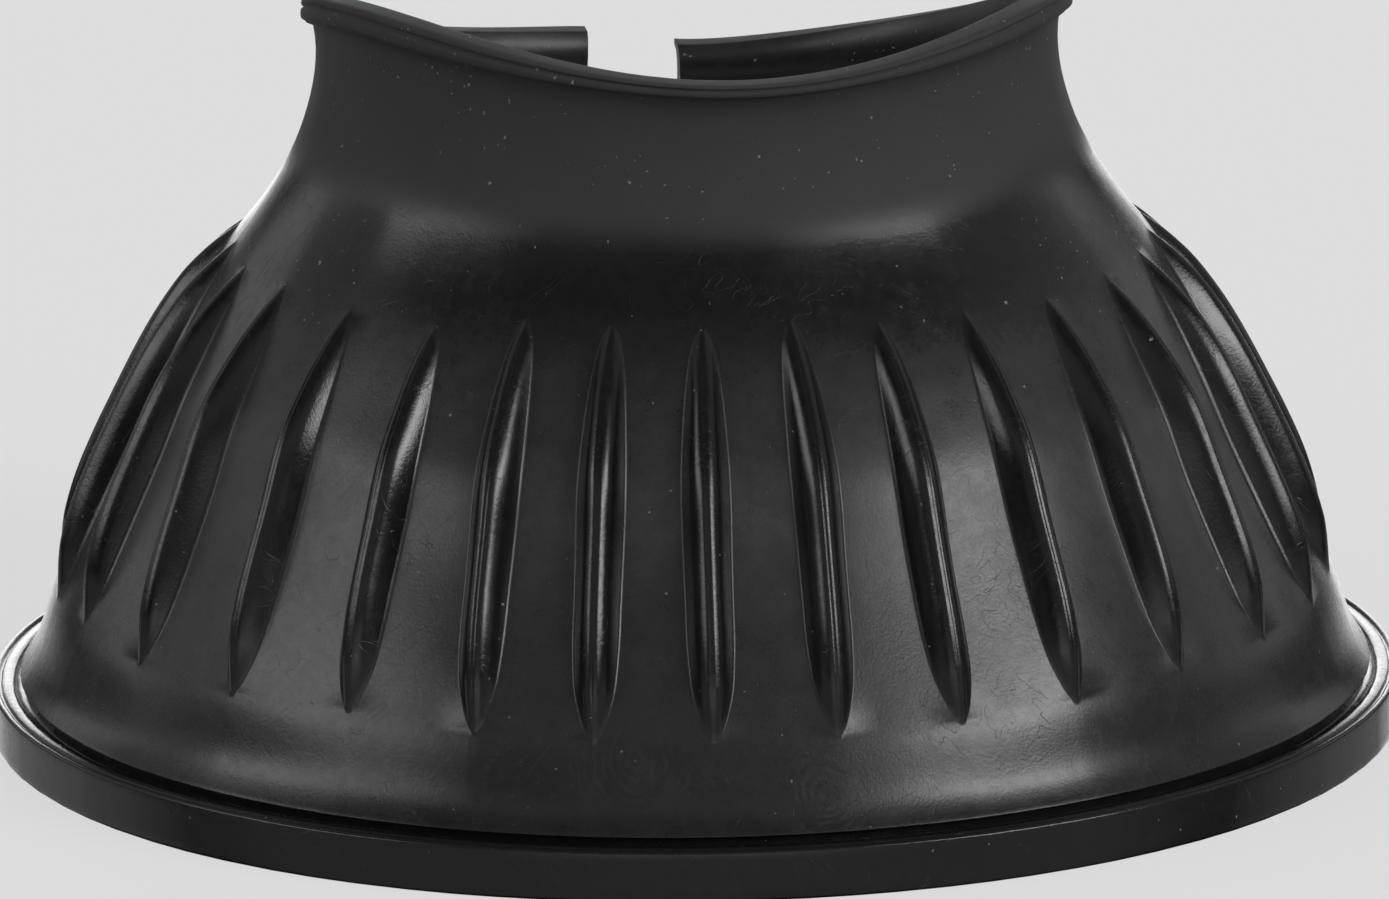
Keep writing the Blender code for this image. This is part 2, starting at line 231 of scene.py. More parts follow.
def slitEdge(level, side):  # half the slit's width at a level
    share = level / bell["rimBack"]
    return (bell["slitBottom"] + share * (bell["slitTop"] - bell["slitBottom"])) / 2 - side * bell["slitOffset"]


def endAngle(radius, height, side):
    level = height + lift(math.pi, height)
    return side * (math.pi - np.arcsin(slitEdge(level, side) / radius))


def wobble(angle, height):
    # soft rubber is never quite true: long waves in the wall, which fade out where the straps lie
    wave = sum(share * np.sin(turns * angle + climb * height + start) for turns, climb, start, share in wallWaves)
    fade = 1 - smoothStep(np.abs(angle), math.radians(122), math.radians(136))
    return bell["wobble"] * wave * fade


def alongRib(share, column, size, least):  # a rib's half width or height at a share of its length
    value = curveThrough(ribShape[:, 0], ribShape[:, column], share)
    return np.maximum(size * value, least)


def ribAcross(width, crest):
    # the columns across half a rib, from its middle, and how far each stands out: a parabola down to the wall
    # with a hollow fillet and a low toe outside it, less a fine groove along the crest
    across = np.array([0.0, 0.05, 0.105, 0.19, 0.31, 0.47, 0.68, 0.92, 1.02, 1.09])
    level = crest * (1 - across ** 2)
    soft = np.minimum(ribs["fillet"], crest * 0.5) + 1e-9
    rise = np.maximum(level, 0) + np.maximum(soft - np.abs(level), 0) ** 2 / (4 * soft)
    full = crest / ribs["height"]
    rise = rise - ribs["groove"] * smoothStep(full, 0.1, 0.7) * np.exp(-(across / ribs["grooveShare"]) ** 2)
    rise[:, -1:] += ribs["toe"] * full
    return width * across, np.where(crest > 0, rise, 0)


def arc(centre, radius, start, end, count):  # points on a circle in the section, angles in degrees
    turn = np.radians(np.linspace(start, end, count))
    return np.stack([centre[0] + radius * np.cos(turn), centre[1] + radius * np.sin(turn)], axis=1)


def bellSection():
    # the section's points as radius and height, from the hem's underside up the outside and down the inside;
    # it also gives the outer wall's first and last row and the bead's last one
    hem, band, edge = bell["hemRadius"], bell["bandHeight"], bell["edgeRound"]
    footLevel, floor = band + bell["footGap"], band - bell["gapDepth"]
    foot = float(wallRadius(footLevel))
    ledge = hem - edge - 0.0003
    gap, inset, groove = foot + bell["gapWidth"], foot - bell["footInset"], bell["ledgeGroove"]
    cut = band - bell["ledgeGrooveDepth"]
    parts = [
        arc((hem - edge, edge), edge, -90, 0, 4),
        np.stack([np.full(5, hem), np.linspace(edge, band - edge, 7)[1:-1]], axis=1),
        arc((hem - edge, band - edge), edge, 0, 90, 5),
        np.array([
            (ledge, band - 0.00008), (ledge - 0.00012, cut), (ledge - groove * 0.6, cut),
            (ledge - groove * 0.7, band - 0.0001), (ledge - groove * 0.8, band - 0.00002),
            (gap + 0.0006, band), (gap + 0.0001, band - 0.00006), (gap, band - 0.0002),
            (foot + bell["gapWidth"] * 0.9, floor + 0.0002), (foot + bell["gapWidth"] * 0.7, floor),
            (inset + 0.0002, floor), (inset, floor + 0.0002), (inset, footLevel - 0.0003),
            (inset + 0.0002, footLevel - 0.0001), (foot - 0.0002, footLevel - 0.00008),
            (foot - 0.00004, footLevel + 0.00002),
        ]),
    ]
    low = np.linspace(band + 0.0017, ribs["foot"] - 0.0014, 8)
    share = (1 - np.cos(np.linspace(0, math.pi, 76))) / 2
    share = share * 0.8 + np.linspace(0, 1, 76) * 0.2
    middle = ribs["foot"] - 0.0006 + share * (ribs["tip"] - ribs["foot"] + 0.0014)
    high = np.linspace(ribs["tip"] + 0.0018, bell["rimFront"] - 0.0036, 17)
    lip, top = float(wallRadius(bell["rimFront"])), bell["rimFront"]
    outer = np.concatenate([footLevel + np.array([0.00018, 0.0006]), low, middle, high])
    firstOuter = sum(len(p) for p in parts)
    parts.append(np.stack([wallRadius(outer), outer], axis=1))
    parts.append(np.stack([lip + bead[:, 1], top - bead[:, 0]], axis=1))
    parts.append(arc((lip - bell["wall"] + 0.0004, top - 0.00045), 0.0004, 110, 180, 4))
    inner = np.linspace(knotHeights[-2], knotHeights[1], 22)
    slope = wallSlope(inner)
    thick = bell["wall"] / np.hypot(slope, 1)
    parts.append(np.stack([wallRadius(inner) - thick, inner + thick * slope], axis=1))
    bore = bell["boreRadius"]
    parts.append(np.array([(bore, band / 2 + 0.0012), (bore, 0.0004), (bore + 0.0004, 0.0)]))
    lastOuter = firstOuter + len(outer)
    return np.concatenate(parts), firstOuter, lastOuter, lastOuter + len(bead)


def ribPlaces(height):
    # each rib's middle as an angle at every height, and its share of the way from foot to tip. The side ribs
    # stand further round than an even pitch gives, as in a boot that is pressed a little flat
    chance = np.random.default_rng(11)
    pitch = 2 * math.pi / ribs["places"]
    middles = (np.arange(2 * ribs["eachSide"]) - ribs["eachSide"] + 0.5) * pitch
    uneven = chance.uniform(-1, 1, (3, len(middles))) * ribs["uneven"]
    turned = np.degrees(middles - viewAzimuth)
    side = smoothStep(np.abs(turned), 12, 38)
    foot = ribs["foot"] + ribs["sideFoot"] * side + uneven[0]
    tip = ribs["tip"] - ribs["sideTip"] * side + uneven[1]
    share = (height - foot) / (tip - foot)
    held = np.clip(share, 0, 1)
    aside = np.abs(turned)
    outward = smoothStep(aside - (ribs["spreadFrom"] - 4 * held), 0, ribs["spreadOver"])
    outward = outward * np.where(turned > 0, ribs["rightShare"], 1.0) * (1 - smoothStep(aside, *ribs["spreadEnd"]))
    outward = outward * (ribs["spread"] + ribs["spreadTip"] * held)
    nudge = ribs["nudge"] * np.exp(-((turned - ribs["nudgeAt"]) / ribs["nudgeReach"]) ** 2) * (1 - held) ** 2
    angle = middles + np.radians(np.sign(turned) * outward + nudge)
    waver = uneven[2] * 0.5 * np.sin(held * (5 + 2 * np.sin(7 * middles)) + 9 * middles)
    return angle + waver / wallRadius(height), share


def bellColumns(radius, height, isOuter):
    # each point's angle, how far a rib lifts it and whether it lies on a crest. Columns run round from one slit
    # face to the other and gather on the ribs
    middles, shares = ribPlaces(height)
    start, end = endAngle(radius, height, -1), endAngle(radius, height, 1)
    columns, outs, crests = [], [], []
    panel = np.concatenate([[0.0, 0.006, 0.015, 0.03, 0.055], np.linspace(0.1, 1, 15)])
    between = np.array([0.3, 0.7])
    previous = None
    for i in range(middles.shape[1]):
        share = shares[:, i:i + 1]
        raised = isOuter & (share > 0) & (share < 1)
        held = np.clip(share, 0, 1)
        crest = np.where(raised, alongRib(held, 2, ribs["height"], 0), 0)
        place, rise = ribAcross(alongRib(held, 1, ribs["halfWidth"], ribs["narrowest"]), crest)
        turn = place[:, 1:] / radius
        left = middles[:, i:i + 1] - turn[:, -1:]
        before = start if previous is None else previous
        steps = panel[:-1] if previous is None else between
        columns.append(before + (left - before) * steps)
        columns += [middles[:, i:i + 1] - turn[:, ::-1], middles[:, i:i + 1], middles[:, i:i + 1] + turn]
        blank = np.zeros((len(radius), len(steps)))
        outs += [blank, rise[:, :0:-1], rise]
        high = (rise > crest * 0.8) & (rise > 0.001)
        crests += [blank, high[:, :0:-1], high]
        previous = middles[:, i:i + 1] + turn[:, -1:]
    columns.append(end + (previous - end) * panel[-2::-1])
    blank = np.zeros((len(radius), len(panel) - 1))
    return (np.concatenate(part, axis=1) for part in (columns, outs + [blank], crests + [blank]))


def maskBell(piece, angle, height, firstOuter, beadEnd, onRib, onCrest):
    # masks for the finish: the lip's edge, rib crests, whole ribs, the inner wall, the dull neck and the bloom,
    # both with painted light, and where dust lies
    fromLip = bell["rimFront"] - height + 0 * angle
    turnedAngle = np.degrees(angle - viewAzimuth)
    row = np.arange(len(height))[:, None] + 0 * angle
    inside = (row > beadEnd) * 1.0
    onBand = (row < firstOuter) * (1 - inside)
    dusty = 0.12 + 0.75 * smoothStep(height, 0.076, 0.096) + 0.40 * np.exp(-((height - 0.0725) / 0.0035) ** 2)
    dusty = dusty + 0.5 * onBand * (1 - smoothStep(np.abs(turnedAngle + 62), 8, 22)) + 0.35 * inside
    # the bloom on the lands, partly painted light: paler at mid height, and left dark for the band of shade below the
    # neck
    dullingAndPaintedLight = np.interp(height, dullingAndPaintedLightLevels[:, 0], dullingAndPaintedLightLevels[:, 1]) * (1 - onRib) * smoothStep(height, 0.0072, 0.0085)
    # the neck's haze mask paints a paler neck as light, and the bloom mask paints light on the lands
    masks = {
        "lip": (1 - smoothStep(fromLip, 0.0004, 0.0036)) * (1 - inside), "crest": onCrest, "rib": onRib,
        "inside": inside, "dusty": dusty, "hazeAndPaintedLight": smoothStep(height, bell["hazeAndLightFrom"], bell["hazeAndLightTo"]) * (1 - inside),
        "dullingAndPaintedLight": dullingAndPaintedLight * (1 - inside),
    }
    for name, values in masks.items():
        addMask(piece, name, values)


def makeBell(finishes):
    # a grid: its rows follow the section and its columns run round. A rib stands out along the wall's normal,
    # and the two cut ends are closed flat
    path, firstOuter, lastOuter, beadEnd = bellSection()
    radius, height = path[:, 0:1], path[:, 1:2]
    isOuter = np.zeros((len(path), 1), bool)
    isOuter[firstOuter:lastOuter] = True
    angle, out, onCrest = bellColumns(radius, height, isOuter)
    onRib = smoothStep(out, 0.00012, 0.0007)
    calm = smoothStep(height, 0.009, 0.014) * np.where(isOuter, 1, 0)
    tilt = np.arctan2(-np.where(isOuter, wallSlope(height), 0), 1)
    swell = bell["swell"] * np.exp(-((height - bell["swellLevel"]) / bell["swellReach"]) ** 2)
    out = out + (wobble(angle, height) + swell * (1 - smoothStep(np.abs(angle - viewAzimuth), 1.0, 1.5))) * calm
    # the bead is lower at the front than at the sides
    aside = smoothStep(np.abs(angle), math.radians(8), math.radians(52))
    slim = bell["frontBead"] + (1 - bell["frontBead"]) * aside
    isBead = (np.arange(len(path))[:, None] >= lastOuter) & (height > bell["rimFront"] - bell["beadReach"])
    shown = np.where(isBead, bell["rimFront"] + (height - bell["rimFront"]) * slim, height + 0 * angle)
    reach = radius + out * np.cos(tilt)
    level = shown + lift(angle, shown) + out * np.sin(tilt)
    points = np.stack([reach * np.sin(angle), -reach * np.cos(angle), level], axis=-1)
    rows, count = angle.shape
    faces = gridFaces(rows, count, closeRows=True).tolist()
    flat = [Vector((r, z, 0)) for r, z in path]
    ends = np.array([list(t) for t in tessellate_polygon([flat])])
    corner = path[ends]
    turned = np.cross(corner[:, 1] - corner[:, 0], corner[:, 2] - corner[:, 0]) < 0
    ends[turned] = ends[turned][:, ::-1]
    faces += (ends * count).tolist() + (ends[:, ::-1] * count + count - 1).tolist()
    piece = makePiece("rubberBell", points, faces, finishes, secondFinish=2 * len(ends))
    maskBell(piece, angle, height, firstOuter, beadEnd, onRib, onCrest)
    print("bell:", rows, "rows,", count, "columns,", (rows * (count - 1)) * 2, "triangles")
    return piece


# Materials

def addNode(tree, kind, inputs=None, **settings):
    made = tree.nodes.new("ShaderNode" + kind)
    for key, value in settings.items():
        setattr(made, key, value)
    for key, value in (inputs or {}).items():
        if isinstance(value, bpy.types.NodeSocket):
            tree.links.new(value, made.inputs[key])
        else:
            made.inputs[key].default_value = value
    return made


def maths(tree, operation, first, second=0.0, third=0.0, clamp=False):
    inputs = {0: first, 1: second}
    if operation in ("MULTIPLY_ADD", "WRAP", "COMPARE"):
        inputs[2] = third
    return addNode(tree, "Math", inputs, operation=operation, use_clamp=clamp).outputs[0]


def times(tree, first, second, clamp=False):
    return maths(tree, "MULTIPLY", first, second, clamp=clamp)


def mixShaders(tree, share, first, second):
    return addNode(tree, "MixShader", {0: share, 1: first, 2: second}).outputs[0]


def vectorMaths(tree, operation, first, second):
    return addNode(tree, "VectorMath", {0: first, 1: second}, operation=operation).outputs[0]


def ramp(tree, value, low, high, toLow=0.0, toHigh=1.0):  # an S curve between two values
    inputs = {"Value": value, "From Min": low, "From Max": high, "To Min": toLow, "To Max": toHigh}
    return addNode(tree, "MapRange", inputs, interpolation_type="SMOOTHSTEP").outputs[0]


def newGroup(name, inputs, outputs):
    # a node group, its inputs, and a function that links its outputs; an input without a number is a vector
    group = bpy.data.node_groups.new(name, "ShaderNodeTree")
    for label, value in inputs.items():
        kind = "NodeSocketVector" if value is None else "NodeSocketFloat"
        socket = group.interface.new_socket(label, in_out="INPUT", socket_type=kind)
        if value is not None:
            socket.default_value = value
    for label in outputs:
        group.interface.new_socket(label, in_out="OUTPUT", socket_type="NodeSocketFloat")
    put = group.nodes.new("NodeGroupOutput").inputs

    def send(**values):
        for label, value in values.items():
            group.links.new(value, put[label])

    return group, group.nodes.new("NodeGroupInput").outputs, send


def noise(tree, place, scale, detail=3.0, roughness=0.55):
    inputs = {"Vector": place, "Scale": scale, "Detail": detail, "Roughness": roughness}
    return addNode(tree, "TexNoise", inputs).outputs["Fac"]


def grainGroup():
    # the moulded skin: a fine pitted grain and two slower mottles, all from 0 to 1
    group, given, send = newGroup("grain", {"Place": None, "Scale": 2600.0}, ("Grain", "Mottle", "Cloud"))
    fine = noise(group, given["Place"], given["Scale"], 2.0, 0.6)
    send(Grain=ramp(group, fine, 0.3, 0.7))
    mottle = noise(group, given["Place"], times(group, given["Scale"], 0.23), 4.0, 0.7)
    send(Mottle=ramp(group, mottle, 0.25, 0.75))
    cloud = noise(group, given["Place"], times(group, given["Scale"], 0.016), 3.0, 0.5)
    send(Cloud=ramp(group, cloud, 0.25, 0.75))
    return group


def dustGroup():
    # loose specks: round cells, few of them filled, each with a size of its own; Amount is the share filled
    inputs = {"Place": None, "Scale": 700.0, "Amount": 0.1, "Size": 0.2}
    group, given, send = newGroup("dust", inputs, ("Specks", "Haze"))
    bend = addNode(group, "TexNoise", {"Vector": given["Place"], "Scale": 1800.0, "Detail": 2.0})
    push = vectorMaths(group, "SUBTRACT", bend.outputs["Color"], (0.5, 0.5, 0.5))
    push = vectorMaths(group, "MULTIPLY", push, (0.0009, 0.0009, 0.0009))
    bent = vectorMaths(group, "ADD", given["Place"], push)
    cells = addNode(group, "TexVoronoi", {"Vector": bent, "Scale": given["Scale"]})
    own = addNode(group, "SeparateColor", {"Color": cells.outputs["Color"]}).outputs
    filled = maths(group, "LESS_THAN", own["Red"], given["Amount"])
    size = times(group, given["Size"], maths(group, "MULTIPLY_ADD", own["Green"], 0.8, 0.2))
    near = maths(group, "SUBTRACT", 1.0, maths(group, "DIVIDE", cells.outputs["Distance"], size), clamp=True)
    specks = times(group, times(group, near, 2.2, clamp=True), filled)
    send(Specks=specks)
    haze = noise(group, given["Place"], 240.0, 5.0, 0.7)
    send(Haze=times(group, ramp(group, haze, 0.42, 0.75), given["Amount"]))
    return group


def scratchGroup():
    # fine scratches: the thin lines where a stretched noise passes its middle, in patches; two directions
    inputs = {"Place": None, "Turn": 0.6, "Thin": 0.004, "Amount": 0.4}
    group, given, send = newGroup("scratches", inputs, ("Lines",))
    total = None
    for share, squeeze in ((1.0, (30.0, 420.0, 420.0)), (-1.7, (420.0, 36.0, 300.0))):
        turn = times(group, given["Turn"], share)
        angles = addNode(group, "CombineXYZ", {0: turn, 1: turn, 2: turn}).outputs[0]
        place = addNode(group, "VectorRotate", {"Vector": given["Place"], "Rotation": angles},
                        rotation_type="EULER_XYZ").outputs[0]
        stretched = vectorMaths(group, "MULTIPLY", place, squeeze)
        wave = noise(group, stretched, 1.0, 1.0, 0.5)
        off = maths(group, "ABSOLUTE", maths(group, "SUBTRACT", wave, 0.5))
        line = maths(group, "SUBTRACT", 1.0, maths(group, "DIVIDE", off, given["Thin"]), clamp=True)
        patch = ramp(group, noise(group, given["Place"], 90.0 * abs(share), 2.0), 0.52, 0.62)
        line = times(group, line, patch)
        total = line if total is None else maths(group, "MAXIMUM", total, line)
    send(Lines=times(group, total, given["Amount"]))
    return group


def wearGroup():
    # wear along an edge: the edge's mask, broken up by a noise
    group, given, send = newGroup("wear", {"Place": None, "Edge": 0.0, "Scale": 500.0, "Amount": 0.5}, ("Worn",))
    patches = noise(group, given["Place"], given["Scale"], 4.0, 0.65)
    level = times(group, given["Edge"], given["Amount"])
    reached = maths(group, "ADD", level, maths(group, "MULTIPLY_ADD", patches, 0.9, -0.45))
    worn = ramp(group, reached, 0.25, 0.75)
    send(Worn=times(group, worn, given["Edge"]))
    return group


def weaveGroup():
    # a plain weave from the piece's own map, in threads along and across: the height, and the gaps between, which the
    # cloth darkens as painted shade
    inputs = {"Along": 0.0, "Across": 0.0, "Pitch": 0.0012, "Twist": 5.0}
    group, given, send = newGroup("weave", inputs, ("Height", "Gap", "Ply"))
    u = maths(group, "DIVIDE", given["Along"], given["Pitch"])
    v = maths(group, "DIVIDE", given["Across"], given["Pitch"])
    column = maths(group, "FLOOR", v)
    ridge = maths(group, "ABSOLUTE", maths(group, "SINE", times(group, v, math.pi)))
    beat = times(group, maths(group, "ADD", u, column), math.pi)
    over = maths(group, "MULTIPLY_ADD", maths(group, "COSINE", beat), 0.5, 0.5)
    height = times(group, maths(group, "POWER", ridge, 0.6), maths(group, "MULTIPLY_ADD", over, 0.65, 0.35))
    send(Height=height)
    # where the threads dip: the cloth paints shade there
    send(Gap=ramp(group, height, 0.05, 0.35, 1.0, 0.0))
    slant = maths(group, "ADD", times(group, u, given["Twist"]), times(group, v, 3.0))
    ply = maths(group, "MULTIPLY_ADD", maths(group, "SINE", times(group, slant, math.pi)), 0.5, 0.5)
    send(Ply=ply)
    return group


def printGroup():
    # a faint finger mark: rings round a centre that a noise bends, inside a soft round patch
    group, given, send = newGroup("finger mark", {"Place": None, "Centre": None, "Reach": 0.009}, ("Ridges",))
    away = vectorMaths(group, "SUBTRACT", given["Place"], given["Centre"])
    squashed = vectorMaths(group, "MULTIPLY", away, (1.0, 1.0, 0.75))
    far = addNode(group, "VectorMath", {0: squashed}, operation="LENGTH").outputs["Value"]
    bend = times(group, noise(group, given["Place"], 140.0, 2.0), 0.004)
    rings = maths(group, "SINE", times(group, maths(group, "ADD", far, bend), 2 * math.pi / 0.0011))
    patch = ramp(group, maths(group, "DIVIDE", far, given["Reach"]), 0.55, 1.0, 1.0, 0.0)
    smear = ramp(group, noise(group, given["Place"], 420.0, 3.0), 0.40, 0.60)
    ridges = times(group, ramp(group, rings, -0.2, 0.8), times(group, patch, smear))
    send(Ridges=ridges)
    return group


grain, dust, scratches, wear, weave, fingerMark = (
    make() for make in (grainGroup, dustGroup, scratchGroup, wearGroup, weaveGroup, printGroup))


def startMaterial(name, roughness, specular=0.5, sheen=0.0):
    made = bpy.data.materials.new(name)
    made.use_nodes = True
    tree = made.node_tree
    shader = tree.nodes["Principled BSDF"]
    shader.inputs["Roughness"].default_value = roughness
    shader.inputs["Specular IOR Level"].default_value = specular
    shader.inputs["Sheen Weight"].default_value = sheen
    return made, tree, addNode(tree, "TexCoord").outputs["Object"]


def useGroup(tree, group, **inputs):
    return addNode(tree, "Group", inputs, node_tree=group).outputs


def mask(tree, name):
    return addNode(tree, "Attribute", attribute_name=name).outputs["Fac"]


def blendColours(tree, share, first, second):
    first, second = (c if isinstance(c, bpy.types.NodeSocket) else (*c, 1) for c in (first, second))
    return addNode(tree, "Mix", {0: share, 6: first, 7: second}, data_type="RGBA").outputs[2]


def finishMaterial(made, colour, rough, *bumps):
    # links the colour, the roughness and a row of bumps, each a height and the depth it stands for in metres
    tree = made.node_tree
    shader = tree.nodes["Principled BSDF"].inputs
    tree.links.new(colour, shader["Base Color"])
    tree.links.new(rough, shader["Roughness"])
    normal = None
    for height, depth in bumps:
        inputs = {"Height": height, "Distance": depth, "Strength": 1.0}
        if normal is not None:
            inputs["Normal"] = normal
        normal = addNode(tree, "Bump", inputs).outputs["Normal"]
    tree.links.new(normal, shader["Normal"])
    return made


rubberFinish = {
    "colour": (0.0072, 0.0072, 0.0075), "pale": (0.0125, 0.0125, 0.0130), "dust": (0.42, 0.42, 0.41),
    "dullAndPaintedLight": (0.075, 0.075, 0.076), "roughness": 0.215, "mottle": 0.05, "grainDepth": 0.0000055,
    "fineDust": 0.12, "coarseDust": 0.14, "scratches": 0.55, "lipWear": 0.75, "crestWear": 0.5,
    "fingerMarks": (((-0.0190, -0.0873, 0.0178), 0.010), ((0.0060, -0.0905, 0.0125), 0.007)),
}


def rubberMaterial():
    # black rubber with a pitted skin; bloom, haze, wear, scratches, finger marks and dust each make it paler
    # and duller. The bloom and the neck's haze also paint light: paler lands and a paler neck, with a band of shade
    # between
    made, tree, place = startMaterial("black rubber", rubberFinish["roughness"])
    skin = useGroup(tree, grain, Place=place)
    clumps = ramp(tree, noise(tree, place, 75.0, 3.0, 0.6), 0.42, 0.66, 0.25, 2.2)
    spread = times(tree, mask(tree, "dusty"), clumps)
    fine, coarse = (
        useGroup(tree, dust, Place=place, Scale=scale, Size=size, Amount=times(tree, spread, rubberFinish[kind]))
        for scale, size, kind in ((1250.0, 0.30, "fineDust"), (460.0, 0.15, "coarseDust")))
    hazeAndPaintedLight = mask(tree, "hazeAndPaintedLight")
    lines = useGroup(tree, scratches, Place=place, Amount=rubberFinish["scratches"])["Lines"]
    lipWear, crestWear = (
        useGroup(tree, wear, Place=place, Edge=mask(tree, edge), Scale=scale, Amount=rubberFinish[kind])["Worn"]
        for edge, scale, kind in (("lip", 500.0, "lipWear"), ("crest", 900.0, "crestWear")))
    mark = maths(tree, "MAXIMUM", *(
        useGroup(tree, fingerMark, Place=place, Centre=centre, Reach=reach)["Ridges"]
        for centre, reach in rubberFinish["fingerMarks"]))
    smudge = ramp(tree, noise(tree, place, 210.0, 5.0, 0.68), 0.30, 0.70, 0.75, 1.25)
    speckle = ramp(tree, noise(tree, place, 2600.0, 3.0, 0.75), 0.30, 0.70, 0.82, 1.18)
    uneven = times(tree, smudge, speckle)
    # the bloom mask, which also paints light on the lands at mid height
    bloomAndPaintedLight = times(tree, mask(tree, "dullingAndPaintedLight"), uneven)
    inside = times(tree, times(tree, mask(tree, "inside"), 0.30), uneven)
    # the neck's haze: a dull skin, made paler as painted light
    neck = times(tree, hazeAndPaintedLight, maths(tree, "MULTIPLY_ADD", uneven, 0.25, 0.40))
    dullingAndPaintedLight = times(tree, coarse["Haze"], 0.9, clamp=True)
    for level, share in ((inside, 1.0), (neck, 1.0), (lipWear, 0.8), (lines, 0.5), (mark, 0.10)):
        dullingAndPaintedLight = maths(tree, "MAXIMUM", dullingAndPaintedLight, times(tree, level, share))
    specks = maths(tree, "MAXIMUM", times(tree, fine["Specks"], 0.75), coarse["Specks"])
    colour = blendColours(tree, times(tree, skin["Mottle"], 0.8), rubberFinish["colour"], rubberFinish["pale"])
    # the dull pale colour, which also paints the light on the lands and on the neck
    colour = blendColours(tree, maths(tree, "MAXIMUM", dullingAndPaintedLight, bloomAndPaintedLight), colour, rubberFinish["dullAndPaintedLight"])
    colour = blendColours(tree, specks, colour, rubberFinish["dust"])
    rough = maths(tree, "MULTIPLY_ADD", skin["Mottle"], rubberFinish["mottle"], rubberFinish["roughness"] - 0.03)
    for level, share in ((skin["Cloud"], 0.05), (crestWear, 0.10), (dullingAndPaintedLight, 0.5), (bloomAndPaintedLight, 0.16), (hazeAndPaintedLight, 0.20),
                         (mask(tree, "rib"), -0.03), (mark, 0.10), (specks, 0.4)):
        rough = maths(tree, "ADD", rough, times(tree, level, share))
    rough = maths(tree, "MINIMUM", rough, 1.0)
    scored = maths(tree, "SUBTRACT", specks, times(tree, lines, 0.6))
    return finishMaterial(made, colour, rough, (skin["Cloud"], 0.00003), (skin["Mottle"], 0.000006),
                          (skin["Grain"], rubberFinish["grainDepth"]), (scored, 0.00003))


def cutMaterial():
    # the knife-cut ends of the bell: greyer, duller, with faint tool lines along the wall
    made, tree, place = startMaterial("cut rubber", 0.5)
    skin = useGroup(tree, grain, Place=place, Scale=1700.0)
    worn = useGroup(tree, wear, Place=place, Edge=0.6, Scale=700.0, Amount=0.9)["Worn"]
    colour = blendColours(tree, skin["Mottle"], (0.030, 0.030, 0.031), (0.065, 0.065, 0.066))
    colour = blendColours(tree, worn, colour, (0.12, 0.12, 0.12))
    rough = maths(tree, "MULTIPLY_ADD", skin["Grain"], 0.25, 0.45)
    lines = noise(tree, vectorMaths(tree, "MULTIPLY", place, (1.0, 1.0, 0.06)), 2200.0, 2.0)
    return finishMaterial(made, colour, rough, (lines, 0.00008), (skin["Grain"], 0.00002))


def clothMaterial(name, finish):
    # woven nylon: warp threads with a twist from the weave, gaps darkened as painted shade, lint and a soft sheen
    made, tree, place = startMaterial(name, finish["roughness"], 0.35, finish["sheen"])
    drawn = addNode(tree, "UVMap", uv_map="along").outputs[0]
    axes = addNode(tree, "SeparateXYZ", {0: drawn}).outputs
    cloth = useGroup(tree, weave, Along=axes[0], Across=axes[1], Pitch=finish["pitch"])
    skin = useGroup(tree, grain, Place=place, Scale=3800.0)
    lint = useGroup(tree, dust, Place=place, Scale=900.0, Size=0.24, Amount=0.035)
    colour = blendColours(tree, cloth["Ply"], finish["colour"], finish["pale"])
    colour = blendColours(tree, times(tree, skin["Cloud"], 0.3), colour, finish["faded"])
    # painted shade in the gaps between the threads
    colour = blendColours(tree, times(tree, cloth["Gap"], 0.85), colour, finish["gap"])
    colour = blendColours(tree, times(tree, lint["Specks"], 0.6), colour, (0.32, 0.32, 0.31))
    rough = maths(tree, "MULTIPLY_ADD", skin["Mottle"], 0.18, finish["roughness"] - 0.09)
    return finishMaterial(made, colour, rough, (cloth["Height"], finish["bump"]), (cloth["Ply"], 0.00005),
                          (skin["Grain"], 0.00002))


def fibreMaterial(name, colour, pale, roughness, scale, sheen=0.0):
    # single threads, hooks and loops: two tones, a fine twist along them and a little lint
    made, tree, place = startMaterial(name, roughness, 0.4, sheen)
    skin = useGroup(tree, grain, Place=place, Scale=scale)
    lint = useGroup(tree, dust, Place=place, Scale=1100.0, Size=0.25, Amount=0.03)
    tone = blendColours(tree, skin["Mottle"], colour, pale)
    tone = blendColours(tree, times(tree, lint["Specks"], 0.5), tone, (0.35, 0.35, 0.34))
    rough = maths(tree, "MULTIPLY_ADD", skin["Grain"], 0.2, roughness - 0.1)
    return finishMaterial(made, tone, rough, (skin["Grain"], 0.00003))


rubber = rubberMaterial()
cutRubber = cutMaterial()
# gap is the colour of the painted shade between the threads
webbingFinish = {
    "colour": (0.018, 0.018, 0.019), "pale": (0.040, 0.040, 0.042), "faded": (0.055, 0.054, 0.054),
    "gap": (0.005, 0.005, 0.005), "roughness": 0.55, "sheen": 0.15, "pitch": 0.00156, "bump": 0.00008,
}
# gap is the colour of the painted shade between the threads
tapeFinish = {
    "colour": (0.016, 0.016, 0.017), "pale": (0.030, 0.030, 0.032), "faded": (0.040, 0.040, 0.040),
    "gap": (0.004, 0.004, 0.004), "roughness": 0.62, "sheen": 0.10, "pitch": 0.0006, "bump": 0.00008,
}
webbing = clothMaterial("black webbing", webbingFinish)
tapeBase = clothMaterial("tape cloth", tapeFinish)
hookNylon = fibreMaterial("hook nylon", (0.013, 0.013, 0.014), (0.026, 0.026, 0.028), 0.36, 5200.0)
loopNylon = fibreMaterial("loop nylon", (0.012, 0.012, 0.013), (0.034, 0.033, 0.034), 0.60, 6000.0, sheen=0.2)
sewingThread = fibreMaterial("sewing thread", (0.050, 0.050, 0.052), (0.10, 0.099, 0.10), 0.45, 4200.0, sheen=0.1)

rubberBell = makeBell([rubber, cutRubber])
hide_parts("bell_shell")
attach(rubberBell, "shell")


# The closure: two straps with hook and loop tapes across the slit

